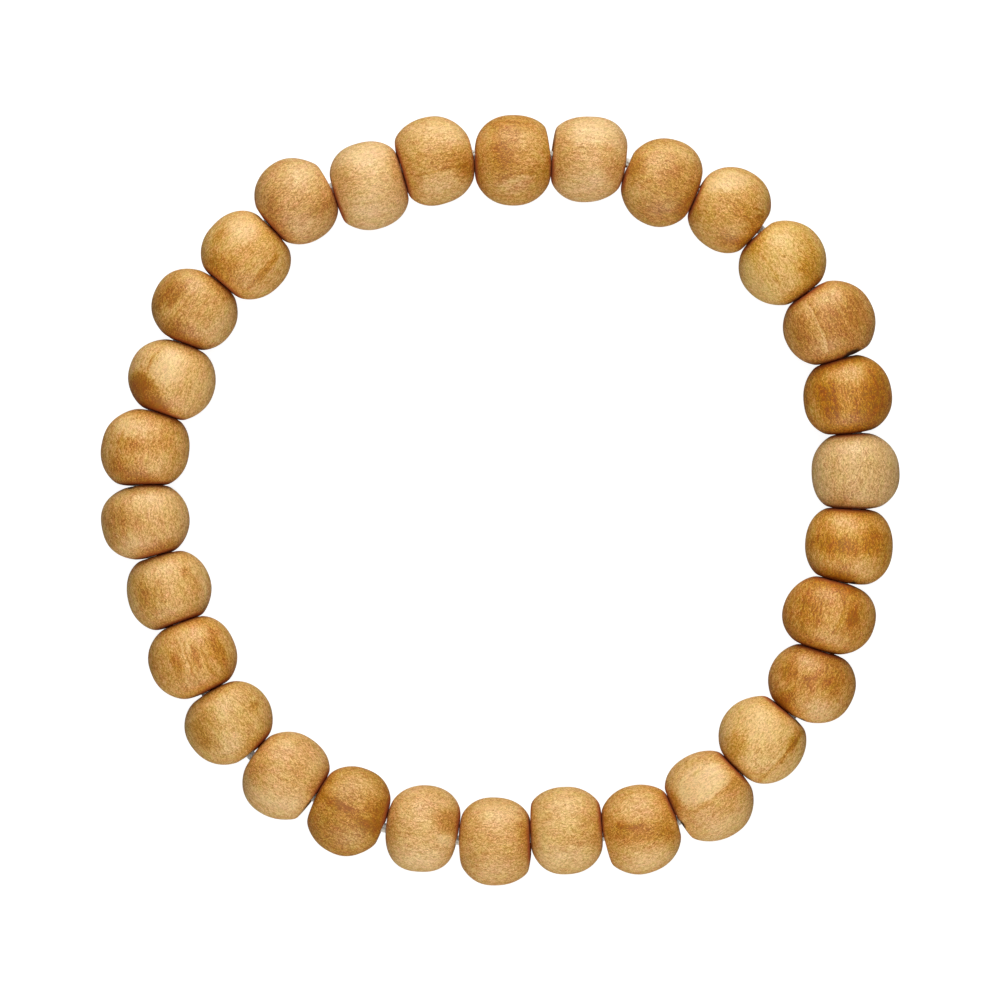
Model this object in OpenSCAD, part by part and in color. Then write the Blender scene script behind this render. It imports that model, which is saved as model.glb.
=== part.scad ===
// Wooden bead bracelet: thirty drilled barrel beads on one loop of stretch elastic, lying flat.
// The origin is on the surface, under the middle of the loop. The first bead is near +Y, and the
// others follow clockwise, seen from above.

/* [Beads] */
// Diameter of an ordinary bead
bead_d = 8.0; // [7:0.1:9]
// Length of an ordinary bead along its bore
bead_length = 6.6; // [6:0.05:7]
// How square a bead's outline is: 2 is an ellipse, and more is squarer
bead_square = 2.35; // [2:0.05:3]
// Length of the whole rounded outline over that of the bead, whose end faces cut it short
end_cut = 1.03; // [1.02:0.01:1.15]

/* [Bore] */
// Diameter of the bore
bore_d = 2.4; // [2.2:0.1:2.6]
// Width of the worn rim round each end of the bore
rim_w = 0.15; // [0.05:0.05:0.3]

/* [Loop] */
// Space left for each bead, beyond its length, along the ring line
bead_gap = 0.12; // [0.05:0.01:0.3]
// Direction of the first bead's even place, in degrees clockwise from +Y
first_bead_at = 2; // [0:1:11]

/* [Elastic] */
// Diameter of the stretch elastic
elastic_d = 0.9; // [0.7:0.05:1]
// How far the elastic runs outside the middle of the bores where two beads meet in line
elastic_out = 0.25; // [0:0.05:0.4]
// Least space between the elastic and the wall of a bore
elastic_space = 0.1; // [0.05:0.01:0.15]
// Length over which the elastic bends on each side of such a place
elastic_bend = 0.5; // [0.3:0.1:1]

/* [Hidden] */
// The woods, each with its place in this list as its number in the bead chart
PALE = 0;
HONEY = 1;
AMBER = 2;
WOOD_COLOURS = ["#deb986", "#cf9f5f", "#b97f3f"];

// One row for each bead, clockwise from the top.
// slid: how far, in mm, it has slid clockwise along the ring line from its even place
// out: how far, in mm, its middle stands outside the ring line
// turn: how far, in degrees, its bore is turned clockwise from the ring line
// longer, wider: how much, in mm, it differs from an ordinary bead
// near, far: how far, in degrees clockwise, its two end faces are out of square
// wood: which of the woods it is
BEADS = [
    // slid,  out,  turn, longer, wider, near, far, wood
    [ 0.05, -1.2,   -2,  0.2,   0.2,    0,   0, AMBER],
    [ 0.3,  -0.15, -11,  0.05, -0.15,  -4,   4, PALE],
    [ 0.55,  0.2,   -4, -0.05,  0.0,    0,   0, AMBER],
    [ 0.15,  1.45,  -7, -0.2,  -0.15,  -7,   5, HONEY],
    [ 0.1,   1.35,   1,  0.15,  0.0,   -2,   3, HONEY],
    [-0.15,  1.8,    2,  0.1,   0.35,  -9,   6, AMBER],
    [-0.3,   0.9,    5,  0.15,  0.05,  -5,   6, AMBER],
    [-0.3,   0.25,   4,  0.15,  0.0,   -3,   3, PALE],
    [-0.25, -0.15,   0,  0.05, -0.1,   -5,   6, AMBER],
    [-0.3,  -0.35,  -4, -0.2,   0.3,   -1,   2, HONEY],
    [-0.7,   0.85,  -3, -0.15, -0.05, -10,   8, AMBER],
    [-0.75,  0.25,  -1,  0.15,  0.0,   -4,   2, PALE],
    [-0.75,  0.95,  -1,  0.2,   0.1,   -8,   7, HONEY],
    [-0.6,   0.6,    8,  0.05,  0.3,   -6,   5, AMBER],
    [-0.75, -1.35,  10, -0.2,   0.0,   -2,   1, PALE],
    [-0.65, -0.95,  -1, -0.2,   0.1,    0,   0, HONEY],
    [-0.45, -1.25,  -5, -0.2,   0.0,    4,  -2, HONEY],
    [-0.15, -0.55,   0, -0.1,   0.1,   -2,   3, AMBER],
    [-0.05, -0.25,  -4,  0.0,   0.15,  -1,   1, PALE],
    [ 0.2,  -0.15,   4,  0.0,   0.0,   -6,   5, HONEY],
    [ 0.4,  -0.7,    4,  0.0,   0.05,  -1,   4, AMBER],
    [ 0.4,  -0.9,   -4, -0.3,  -0.3,   -1,   4, HONEY],
    [ 0.2,   0.15,  -5, -0.15, -0.05,  -6,   7, PALE],
    [ 0.1,   0.5,    0,  0.15,  0.0,   -9,  10, HONEY],
    [ 0.05, -0.3,   -1, -0.05,  0.0,   -1,   1, PALE],
    [-0.1,   0.65,  -1,  0.0,  -0.1,  -10,   8, AMBER],
    [-0.2,  -0.1,   -2,  0.05,  0.1,   -2,   2, HONEY],
    [-0.2,   0.7,    1, -0.1,   0.0,   -6,   6, HONEY],
    [-0.35, -1.05,   7, -0.3,   0.05,   1,  -1, PALE],
    [-0.35, -0.75,   0,  0.0,   0.1,   -6,   3, HONEY],
];
bead_count = len(BEADS);

function bead_name(i) = str("bead_", i < 9 ? "0" : "", i + 1);
BEAD_NODES = [for (i = [0 : bead_count - 1]) bead_name(i)];

// Points on each half of a bead's outline, and sides of a round part's preview
outline_steps = 24;
round_fn = 64;
// Sides of the elastic
elastic_sides = 8;

ring_r = bead_count * (bead_length + bead_gap) / (2 * PI);

function slid(i) = BEADS[i][0];
function out(i) = BEADS[i][1];
function turn(i) = BEADS[i][2];
function length_of(i) = bead_length + BEADS[i][3];
function diameter_of(i) = bead_d + BEADS[i][4];
function near_lean(i) = BEADS[i][5];
function far_lean(i) = BEADS[i][6];
function wood_colour(i) = WOOD_COLOURS[BEADS[i][7]];
function next_bead(i) = (i + 1) % bead_count;
function bead_before(i) = (i + bead_count - 1) % bead_count;

// Where a bead is and where its bore points, in degrees clockwise from +Y and from +X
function bearing(i) = first_bead_at + 360 * i / bead_count + slid(i) / ring_r * 180 / PI;
function heading(i) = bearing(i) + turn(i);

// Each bead rests on the surface, so its middle is its own radius above it
function middle(i) =
    (ring_r + out(i)) * [sin(bearing(i)), cos(bearing(i)), 0] + [0, 0, diameter_of(i) / 2];

// The middle of a bead's near end, where end is -1, or of its far end, where end is 1
function bore_end(i, end) =
    middle(i) + end * length_of(i) / 2 * [cos(heading(i)), -sin(heading(i)), 0];

// Half of a bead's rounded outline, from one pole to the other: a superellipse
function outline(half_length, radius) = [
    for (k = [0 : outline_steps])
        let (t = 180 * k / outline_steps - 90)
        [radius * pow(cos(t), 2 / bead_square),
         half_length * sign(t) * pow(abs(sin(t)), 2 / bead_square)]
];

module barrel(length, diameter)
    rotate([0, 90, 0])
        rotate_extrude($fn = round_fn)
            polygon(outline(end_cut * length / 2, diameter / 2));

// What an end face takes off: all that lies past a face at x, leaning clockwise
module end_waste(x, lean, size)
    translate([x, 0, 0])
        rotate([0, 0, -lean])
            translate([x < 0 ? -size : 0, -size / 2, -size / 2])
                cube(size);

// The bore, flared at both ends by its worn rim
module bore(length) {
    straight = length / 2 - rim_w;
    flare = 2;
    rotate([0, 90, 0])
        rotate_extrude($fn = round_fn)
            polygon([
                [0, -straight - flare], [bore_d / 2 + flare, -straight - flare],
                [bore_d / 2, -straight], [bore_d / 2, straight],
                [bore_d / 2 + flare, straight + flare], [0, straight + flare],
            ]);
}

module bead(i) {
    length = length_of(i);
    diameter = diameter_of(i);
    color(wood_colour(i))
        translate(middle(i))
            rotate([0, 0, -heading(i)])
                difference() {
                    barrel(length, diameter);
                    end_waste(-length / 2, near_lean(i), 2 * diameter);
                    end_waste(length / 2, far_lean(i), 2 * diameter);
                    bore(length);
                }
}

// Where the elastic passes from bead i to the next one: outside the middle of the two bore ends,
// as far as both bores leave it room
function crossing(i) =
    let (from = bore_end(i, 1),
         to = bore_end(next_bead(i), -1),
         meeting = (from + to) / 2,
         outward = [meeting.x, meeting.y, 0] / norm([meeting.x, meeting.y]),
         step = abs((to - from) * outward),
         room = (bore_d - elastic_d - step) / 2 - elastic_space)
    meeting + min(elastic_out, room) * outward;
function towards(from, to, distance) = from + distance * (to - from) / norm(to - from);

// The elastic is straight in each bead and bends only near the crossings
ELASTIC_ROUTE = [
    for (i = [0 : bead_count - 1])
        each [
            towards(crossing(i), crossing(bead_before(i)), elastic_bend),
            towards(crossing(i), crossing(next_bead(i)), elastic_bend),
        ]
];

function route_point(k) = ELASTIC_ROUTE[(k + len(ELASTIC_ROUTE)) % len(ELASTIC_ROUTE)];
function ring_of_points(k) =
    let (run = route_point(k + 1) - route_point(k - 1),
         side = cross([0, 0, 1], run) / norm([run.x, run.y]),
         up = cross(run, side) / norm(run))
    [for (s = [0 : elastic_sides - 1])
        let (a = 360 * (s + 0.5) / elastic_sides)
        route_point(k) + elastic_d / 2 * (cos(a) * side + sin(a) * up)];

module elastic_cord() {
    rings = len(ELASTIC_ROUTE);
    points = [for (k = [0 : rings - 1]) each ring_of_points(k)];
    faces = [
        for (k = [0 : rings - 1], s = [0 : elastic_sides - 1])
            let (here = k * elastic_sides,
                 ahead = (k + 1) % rings * elastic_sides,
                 s2 = (s + 1) % elastic_sides)
            each [
                [here + s, here + s2, ahead + s2],
                [here + s, ahead + s2, ahead + s],
            ]
    ];
    color("#e9e7e1") polyhedron(points, faces);
}

for (i = [0 : bead_count - 1])
    bead(i);
elastic_cord();
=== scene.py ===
import math
import bmesh
import bpy
from mathutils import Matrix, Vector, noise


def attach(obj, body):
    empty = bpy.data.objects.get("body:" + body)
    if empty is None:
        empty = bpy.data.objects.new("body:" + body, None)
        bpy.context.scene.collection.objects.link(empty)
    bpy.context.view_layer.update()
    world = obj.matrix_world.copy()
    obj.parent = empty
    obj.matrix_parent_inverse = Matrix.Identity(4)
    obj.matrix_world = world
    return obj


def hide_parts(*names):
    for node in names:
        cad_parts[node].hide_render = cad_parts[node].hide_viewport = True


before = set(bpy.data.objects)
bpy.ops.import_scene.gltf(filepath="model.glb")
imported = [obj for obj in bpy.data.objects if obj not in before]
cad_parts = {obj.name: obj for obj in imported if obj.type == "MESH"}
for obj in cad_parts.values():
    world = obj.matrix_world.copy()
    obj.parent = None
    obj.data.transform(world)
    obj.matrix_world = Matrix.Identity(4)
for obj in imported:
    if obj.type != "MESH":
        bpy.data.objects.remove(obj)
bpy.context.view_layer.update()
mm = 0.001  # the scene is in metres, and the sizes below are in millimetres


# The loop of beads, as in the frame
loop = {
    "beadDiameter": 8.0,
    "beadLength": 6.6,
    "gap": 0.12,
    "firstAt": 2.0,  # degrees clockwise from +Y
    "seedStep": 3.7,  # sets each bead's grain and waviness apart from the next one's
}

# Each bead, clockwise from the top, in its own directions: x clockwise along its bore, y outward.
# place: slid clockwise, standing out, turned clockwise (mm, mm, degrees)
# size: longer, wider than an ordinary bead
# lean: degrees that the near and the far end face are out of square
# touch: how far out of the joint's middle it still touches the next bead, mm
# mouth: where painted shadow darkens the mouth of its far bore: y, half size, depth, mm
# full: where its outline stands out or falls short: direction in degrees from x towards y, mm
# tone: 0 palest to 1 deepest amber; hue, sat, val: how its wood differs from the others
# marks: x, y, half length, half width, degrees, tone added, softness of the edge
# lines: x, y, half length, half thickness, degrees, how far its middle bows out, tone added
beads = [
    {"place": (0.05, -1.2, -2), "size": (0.2, 0.2), "lean": (0, 0), "touch": -0.4,
     "full": [(30, 0.2), (60, -0.06), (110, -0.08), (150, -0.15), (220, -0.12), (270, 0.1)],
     "tone": 0.55, "hue": 0.0, "sat": 1.03, "val": 0.96,
     "marks": [(-1.1, -0.4, 0.9, 1.8, 0, 0.24, 0.7), (-0.6, 0.9, 1.6, 1.4, 0, 0.1, 0.8),
               (-0.4, 2.9, 1.8, 0.7, 0, 0.12, 0.8), (1.8, 1.4, 1.2, 1.4, 0, -0.12, 0.8),
               (-2.6, 1.6, 0.8, 1.0, 0, -0.12, 0.8), (2.4, -1.4, 0.8, 0.8, 0, 0.14, 0.8)],
     "lines": [(0.2, -1.55, 2.0, 0.16, 14, 0.15, 0.2), (0.4, -2.0, 2.0, 0.2, 14, 0.15, -0.18),
               (-0.2, -2.6, 1.6, 0.16, 12, 0.1, -0.1), (-0.6, 1.3, 1.2, 0.14, 20, 0.1, 0.12)]},
    {"place": (0.3, -0.15, -11), "size": (0.05, -0.15), "lean": (-4, 4), "touch": -0.5,
     "full": [(50, 0.1), (95, -0.08), (165, 0.25), (245, 0.1), (300, -0.14)],
     "tone": 0.32, "hue": 0.0, "sat": 0.98, "val": 1.0,
     "marks": [(0.9, 2.8, 2.2, 1.0, 0, -0.26, 0.8), (-2.3, 0.2, 1.0, 2.0, 0, 0.24, 0.8),
               (2.2, -0.9, 1.0, 1.4, 0, 0.2, 0.8), (-1.0, -1.4, 1.4, 1.0, 0, 0.1, 0.8)],
     "lines": [(0.2, 0.8, 2.4, 0.14, 3, 0.1, 0.16), (-0.2, 0.2, 2.0, 0.12, -2, 0.1, 0.12),
               (0.6, 1.5, 1.8, 0.16, 0, 0.1, -0.14)]},
    {"place": (0.55, 0.2, -4), "size": (-0.05, 0.0), "lean": (0, 0), "touch": 0.6,
     "full": [(85, 0.17), (110, -0.06), (132, -0.12), (232, -0.18), (285, 0.08), (310, -0.1)],
     "tone": 0.6, "hue": 0.002, "sat": 1.0, "val": 0.99,
     "marks": [(1.0, 0.2, 1.2, 1.8, 10, 0.18, 0.8), (-1.5, 1.6, 1.2, 1.2, 0, -0.12, 0.8),
               (0.8, 3.2, 2.0, 0.7, 0, -0.18, 0.8), (2.8, -1.2, 0.6, 1.6, 0, 0.28, 0.8),
               (-2.5, 0.3, 0.6, 0.9, 0, 0.24, 0.8), (-1.8, -1.8, 1.1, 0.8, 0, -0.16, 0.8),
               (0.4, -2.6, 1.6, 0.8, 0, 0.14, 0.8)],
     "lines": [(-2.0, -0.9, 0.7, 0.16, 40, 0.1, 0.24), (-1.2, -0.9, 0.9, 0.14, 60, 0.1, 0.16),
               (0.4, 1.6, 1.0, 0.14, -10, 0.1, 0.1)]},
    {"place": (0.15, 1.45, -7), "size": (-0.2, -0.15), "lean": (-7, 5), "touch": -0.2,
     "mouth": (1.2, 0.8, 0.34),
     "full": [(15, 0.12), (90, 0.06), (125, -0.15), (240, -0.13)],
     "tone": 0.43, "hue": 0.002, "sat": 1.03, "val": 0.99,
     "marks": [(-1.5, 2.1, 1.9, 1.0, 35, -0.44, 0.6), (-2.5, 0.3, 0.8, 1.0, 0, -0.2, 0.8),
               (1.3, 0.5, 1.5, 1.4, 0, 0.26, 0.8), (-0.2, -1.9, 2.2, 0.9, 0, 0.16, 0.8),
               (1.7, -2.4, 1.3, 0.6, 25, 0.42, 0.7), (2.9, -0.2, 0.5, 1.6, 0, 0.25, 0.8)],
     "lines": [(2.3, 1.3, 0.5, 0.16, 10, 0.1, 0.4), (2.7, 0.7, 0.5, 0.14, 70, 0.1, 0.4),
               (2.1, 0.0, 0.7, 0.14, -20, 0.1, 0.34), (2.0, -0.9, 0.6, 0.14, 25, 0.15, 0.3),
               (-0.4, 0.5, 1.4, 0.14, -8, 0.2, 0.14)]},
    {"place": (0.1, 1.35, 1), "size": (0.15, 0.0), "lean": (-2, 3), "touch": 1.3,
     "full": [(60, -0.1), (95, 0.15), (125, -0.2), (228, -0.15), (260, 0.08), (310, -0.26)],
     "tone": 0.36, "hue": 0.006, "sat": 1.05, "val": 0.99,
     "marks": [(1.8, 1.6, 1.1, 1.1, 20, 0.32, 0.8), (-2.0, 1.4, 1.2, 1.2, 0, -0.14, 0.8),
               (-2.4, -1.2, 0.8, 0.9, 0, 0.14, 0.8), (0.2, -3.0, 2.4, 0.9, 0, -0.16, 0.8),
               (0.8, 2.9, 0.9, 0.6, 0, 0.18, 0.8), (2.7, -0.2, 0.5, 1.6, 0, 0.2, 0.8),
               (-0.3, 0.9, 1.2, 0.7, 0, -0.1, 0.8), (1.8, -1.6, 0.8, 0.7, 0, 0.12, 0.8)],
     "lines": [(0.1, -1.3, 1.9, 0.14, -8, 0.15, 0.2), (1.9, 1.0, 0.9, 0.14, 30, 0.1, 0.24),
               (-1.2, 0.2, 1.2, 0.12, 10, 0.1, 0.12)]},
    {"place": (-0.15, 1.8, 2), "size": (0.1, 0.35), "lean": (-9, 6), "touch": 0.9,
     "mouth": (0.5, 1.0, 0.5),
     "full": [(12, 0.4), (52, 0.0), (90, 0.1), (130, -0.18), (228, -0.2), (270, 0.12), (300, -0.08)],
     "tone": 0.65, "hue": 0.0, "sat": 1.0, "val": 0.99,
     "marks": [(0.5, 0.5, 1.9, 1.1, 0, 0.18, 0.8), (0.2, 2.5, 1.8, 0.8, 0, 0.18, 0.8),
               (0.0, -1.6, 2.6, 0.45, 0, -0.12, 0.8), (-2.4, -0.6, 0.8, 1.6, 0, -0.24, 0.8),
               (-0.1, -2.5, 1.2, 0.8, 0, 0.24, 0.8), (-2.2, 1.6, 1.0, 1.0, 0, -0.22, 0.8)],
     "lines": [(0.0, -1.15, 3.0, 0.16, 0, 0.25, -0.2), (0.0, -0.9, 2.6, 0.14, 0, 0.25, 0.18),
               (-0.4, 1.5, 1.6, 0.16, 5, 0.1, 0.16), (0.6, 0.9, 1.6, 0.12, -4, 0.1, 0.14)]},
    {"place": (-0.3, 0.9, 5), "size": (0.15, 0.05), "lean": (-5, 6), "touch": 0.7,
     "full": [(35, -0.08), (130, -0.13), (240, -0.1), (280, 0.1)],
     "tone": 0.69, "hue": -0.003, "sat": 1.08, "val": 0.94,
     "marks": [(0.5, 2.4, 2.0, 0.9, 0, 0.36, 0.8), (0.0, -2.1, 1.8, 0.8, 0, 0.25, 0.8),
               (-1.9, 0.6, 1.1, 1.6, 0, -0.36, 0.8), (2.2, 1.2, 0.9, 1.1, 0, 0.2, 0.8),
               (1.2, -0.4, 0.9, 0.6, 0, -0.12, 0.8), (-2.2, -1.6, 0.8, 0.7, 0, -0.14, 0.8),
               (0.8, -3.2, 1.8, 0.5, 0, -0.18, 0.8)],
     "lines": [(-0.6, 1.2, 1.6, 0.14, 3, 0.1, 0.18), (0.4, -1.4, 2.2, 0.16, -4, 0.1, 0.18),
               (0.4, 0.4, 1.6, 0.12, 2, 0.1, 0.12)]},
    {"place": (-0.3, 0.25, 4), "size": (0.15, 0.0), "lean": (-3, 3), "touch": 1.1,
     "full": [(75, 0.13), (140, -0.17), (230, -0.14), (292, -0.12), (318, 0.16)],
     "tone": 0.33, "hue": 0.003, "sat": 0.95, "val": 0.95,
     "marks": [(0.4, 0.0, 1.9, 1.9, 0, 0.08, 0.8), (2.4, -1.0, 0.8, 1.2, 0, 0.28, 0.8),
               (-1.8, 0.4, 1.1, 1.6, 0, -0.12, 0.8), (0.2, -2.6, 1.4, 0.8, 0, 0.08, 0.8)],
     "lines": [(-0.4, 1.0, 1.6, 0.12, 5, 0.1, 0.08), (0.4, -1.0, 1.8, 0.12, -5, 0.1, 0.08)]},
    {"place": (-0.25, -0.15, 0), "size": (0.05, -0.1), "lean": (-5, 6), "touch": 0.8,
     "mouth": (0.8, 0.3, 0.34),
     "full": [(55, 0.08), (85, 0.1), (150, 0.1), (300, -0.08)],
     "tone": 0.54, "hue": -0.002, "sat": 1.07, "val": 0.99,
     "marks": [(-0.6, 2.1, 1.0, 1.0, 0, 0.34, 0.7), (0.1, -1.9, 0.8, 2.0, 0, 0.31, 0.6),
               (0.2, 0.3, 0.7, 1.2, 0, 0.18, 0.8), (-2.1, -1.0, 0.9, 1.4, 0, -0.24, 0.8),
               (1.9, 1.6, 0.9, 1.2, 0, -0.2, 0.8), (2.6, -0.2, 0.6, 1.2, 0, 0.24, 0.8)],
     "lines": [(0.0, 3.3, 1.8, 0.2, 0, 0.1, 0.2), (0.0, 0.6, 1.2, 0.14, 0, 0.1, 0.12)]},
    {"place": (-0.3, -0.35, -4), "size": (-0.2, 0.3), "lean": (-1, 2), "touch": 1.3,
     "full": [(45, -0.12), (80, 0.08), (130, 0.08), (155, -0.2), (245, -0.14), (275, 0.14)],
     "tone": 0.66, "hue": -0.003, "sat": 1.05, "val": 0.98,
     "marks": [(-0.4, 1.85, 0.85, 0.55, 0, 0.4, 0.3), (-0.1, -0.6, 2.2, 1.8, 0, -0.14, 0.2),
               (0.2, -1.9, 1.5, 0.8, 0, 0.24, 0.8), (-0.6, 3.3, 1.6, 0.5, 0, -0.12, 0.8),
               (2.4, 1.4, 0.7, 1.2, 0, -0.14, 0.8), (-2.6, 0.6, 0.5, 1.4, 0, 0.14, 0.8)],
     "lines": [(-0.2, 1.0, 2.3, 0.16, 0, 0.9, 0.28), (0.2, -0.9, 1.6, 0.14, 0, 0.5, 0.14)]},
    {"place": (-0.7, 0.85, -3), "size": (-0.15, -0.05), "lean": (-10, 8), "touch": -0.2,
     "mouth": (0.75, 0.55, 0.34),
     "full": [(30, -0.12), (45, -0.18), (145, 0.02), (165, 0.1), (240, -0.12), (270, 0.1), (310, -0.15)],
     "tone": 0.57, "hue": -0.003, "sat": 1.04, "val": 0.95,
     "marks": [(-0.6, 0.4, 1.6, 1.4, 0, 0.14, 0.8), (-1.2, 1.9, 1.4, 0.8, 0, 0.16, 0.8),
               (1.9, 1.9, 1.3, 1.5, -30, -0.36, 0.8), (2.4, -1.6, 0.8, 0.8, 0, 0.34, 0.8),
               (-0.2, -0.6, 0.5, 0.45, 0, 0.3, 0.7), (-0.2, -2.5, 0.8, 0.6, 0, 0.3, 0.8),
               (-1.8, -1.4, 1.0, 0.8, 0, -0.14, 0.8)],
     "lines": [(-1.2, 0.6, 1.3, 0.16, 15, 0.1, 0.14), (0.4, -1.6, 1.4, 0.16, 20, 0.1, 0.16)]},
    {"place": (-0.75, 0.25, -1), "size": (0.15, 0.0), "lean": (-4, 2), "touch": 0.7,
     "full": [(60, -0.12), (90, 0.12), (115, -0.1), (155, 0.1), (205, 0.25), (235, -0.25),
               (265, 0.15), (310, -0.18)],
     "tone": 0.26, "hue": 0.003, "sat": 1.04, "val": 1.0,
     "marks": [(1.8, -1.5, 1.3, 0.9, 25, 0.36, 0.8), (-2.0, 2.8, 1.6, 0.6, 10, 0.14, 0.8),
               (-2.2, 1.9, 1.3, 0.5, 12, 0.2, 0.8), (-0.8, -1.0, 1.6, 1.4, 20, -0.12, 0.8),
               (2.2, 1.4, 0.8, 0.6, 0, 0.14, 0.8)],
     "lines": [(-0.1, 2.4, 3.5, 0.22, 0, 0.35, 0.36), (-1.6, 2.1, 1.6, 0.3, 8, 0.1, 0.2),
               (0.4, 1.7, 2.4, 0.14, 2, 0.1, 0.1)]},
    {"place": (-0.75, 0.95, -1), "size": (0.2, 0.1), "lean": (-8, 7), "touch": -0.5,
     "mouth": (0.5, 0.55, 0.34),
     "full": [(15, 0.2), (27, 0.12), (50, -0.08), (95, 0.12), (135, -0.12), (215, 0.1), (238, -0.15),
               (275, 0.16), (305, 0.08)],
     "tone": 0.37, "hue": 0.0, "sat": 1.01, "val": 1.0,
     "marks": [(0.0, -1.6, 2.5, 1.7, 0, -0.42, 0.25), (0.4, 3.1, 2.2, 0.8, 0, -0.18, 0.8),
               (2.8, -1.6, 0.5, 0.9, 0, 0.3, 0.8), (-2.5, 0.7, 0.9, 0.8, 0, 0.22, 0.8),
               (-0.6, 1.6, 1.8, 1.0, 0, 0.08, 0.8)],
     "lines": [(0.1, 0.2, 3.3, 0.32, 0, 0.3, 0.22), (0.0, -2.6, 1.9, 0.14, 2, -0.2, 0.16),
               (-0.2, -1.6, 2.0, 0.12, -2, 0.05, 0.1)]},
    {"place": (-0.6, 0.6, 8), "size": (0.05, 0.3), "lean": (-6, 5), "touch": -0.2,
     "full": [(20, 0.32), (50, -0.14), (80, -0.04), (115, -0.26), (150, -0.08), (215, 0.1),
               (245, -0.16), (270, 0.1), (295, -0.12)],
     "tone": 0.49, "hue": 0.0, "sat": 1.03, "val": 1.0,
     "marks": [(0.2, -0.1, 3.0, 0.9, -10, 0.26, 0.8), (1.6, -0.8, 1.3, 0.5, -10, 0.12, 0.8),
               (0.0, 3.0, 2.4, 1.0, 0, -0.33, 0.8), (0.0, -2.8, 2.2, 0.8, 0, -0.14, 0.8),
               (-2.4, 0.8, 0.8, 0.8, 0, 0.16, 0.8)],
     "lines": [(0.9, -0.7, 1.4, 0.2, -18, 0.1, 0.26), (-1.4, 0.7, 1.4, 0.14, 15, 0.1, 0.14),
               (1.2, 0.4, 1.2, 0.12, 20, 0.1, 0.12)]},
    {"place": (-0.75, -1.35, 10), "size": (-0.2, 0.0), "lean": (-2, 1), "touch": 1.8,
     "full": [(45, -0.12), (65, 0.08), (115, -0.1), (205, 0.15), (230, -0.1), (300, -0.1), (325, 0.28)],
     "tone": 0.38, "hue": 0.003, "sat": 1.0, "val": 1.0,
     "marks": [(-2.0, -0.3, 1.2, 1.4, 0, 0.18, 0.8), (1.9, 1.8, 1.2, 1.0, -20, -0.14, 0.8),
               (0.0, 3.0, 2.2, 0.9, 0, -0.14, 0.8), (0.6, -2.6, 2.0, 0.8, 0, -0.12, 0.8)],
     "lines": [(-0.2, 0.5, 1.8, 0.12, 0, 0.1, 0.08), (0.2, 1.0, 1.8, 0.12, 2, 0.1, 0.08)]},
    {"place": (-0.65, -0.95, -1), "size": (-0.2, 0.1), "lean": (0, 0), "touch": -0.4,
     "full": [(50, -0.1), (120, -0.1), (150, 0.28), (222, 0.08), (245, -0.12)],
     "tone": 0.44, "hue": 0.0, "sat": 1.0, "val": 1.0,
     "marks": [(1.4, -0.9, 1.4, 0.9, 0, 0.12, 0.8), (-0.2, -2.9, 2.0, 0.9, 0, -0.22, 0.8),
               (-0.3, 1.2, 1.8, 0.8, 0, 0.12, 0.8), (-2.6, -0.6, 0.7, 1.2, 0, 0.2, 0.8),
               (0.2, 3.2, 1.8, 0.6, 0, -0.12, 0.8)],
     "lines": [(0.2, -0.3, 1.0, 0.2, 10, 0.1, 0.12), (-1.0, 0.3, 1.4, 0.12, 0, 0.1, 0.1),
               (0.0, 0.9, 1.8, 0.12, -2, 0.1, 0.1)]},
    {"place": (-0.45, -1.25, -5), "size": (-0.2, 0.0), "lean": (4, -2), "touch": -0.3,
     "full": [(25, -0.2), (95, -0.1), (120, -0.05), (160, -0.17), (225, 0.06), (270, 0.06), (300, -0.12)],
     "tone": 0.36, "hue": 0.0, "sat": 0.99, "val": 1.0,
     "marks": [(-2.2, -1.3, 1.3, 1.0, 10, 0.34, 0.7), (-0.4, 2.9, 2.2, 1.0, 0, -0.24, 0.8),
               (-2.3, 0.5, 0.9, 0.5, 0, -0.32, 0.7), (2.6, 0.4, 0.6, 1.4, 0, 0.2, 0.8),
               (0.6, -2.4, 1.4, 0.8, 0, 0.06, 0.8)],
     "lines": [(0.4, 0.3, 1.6, 0.14, 10, 0.2, 0.12), (0.6, -1.0, 1.6, 0.12, -5, 0.1, -0.1)]},
    {"place": (-0.15, -0.55, 0), "size": (-0.1, 0.1), "lean": (-2, 3), "touch": -0.4,
     "full": [(30, 0.1), (70, -0.13), (92, 0.14), (125, -0.15), (165, 0.08), (232, -0.12), (252, 0.22)],
     "tone": 0.74, "hue": 0.003, "sat": 1.02, "val": 0.95,
     "marks": [(-2.3, 0.1, 1.1, 0.7, 0, 0.34, 0.7), (0.8, -0.2, 2.2, 0.45, -6, 0.26, 0.6),
               (-1.8, 2.0, 1.3, 0.9, 0, -0.24, 0.8), (0.2, -3.1, 2.3, 0.8, 0, -0.3, 0.8),
               (2.4, -1.8, 0.8, 0.9, 0, -0.16, 0.8), (-2.2, -1.4, 0.9, 0.8, 0, 0.14, 0.8),
               (0.6, 1.8, 1.2, 0.8, 0, 0.02, 0.8)],
     "lines": [(0.6, -0.5, 1.4, 0.14, -8, 0.1, 0.2), (-0.6, 1.6, 1.8, 0.14, 6, 0.1, 0.16),
               (0.4, -1.6, 1.6, 0.14, 4, 0.1, -0.14)]},
    {"place": (-0.05, -0.25, -4), "size": (0.0, 0.15), "lean": (-1, 1), "touch": -0.8,
     "full": [(35, -0.12), (110, 0.04), (130, -0.25), (157, 0.42), (222, 0.2), (242, -0.12),
               (270, 0.1), (303, -0.19)],
     "tone": 0.38, "hue": 0.0, "sat": 1.0, "val": 0.99,
     "marks": [(0.0, 2.8, 2.2, 1.0, 0, -0.2, 0.8), (2.3, 0.6, 0.9, 1.5, 0, 0.22, 0.8),
               (-2.4, 1.6, 0.8, 0.9, 0, -0.16, 0.8), (-0.2, -0.9, 1.2, 0.9, 0, 0.1, 0.8),
               (-2.6, -0.8, 0.6, 1.0, 0, 0.14, 0.8)],
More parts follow.
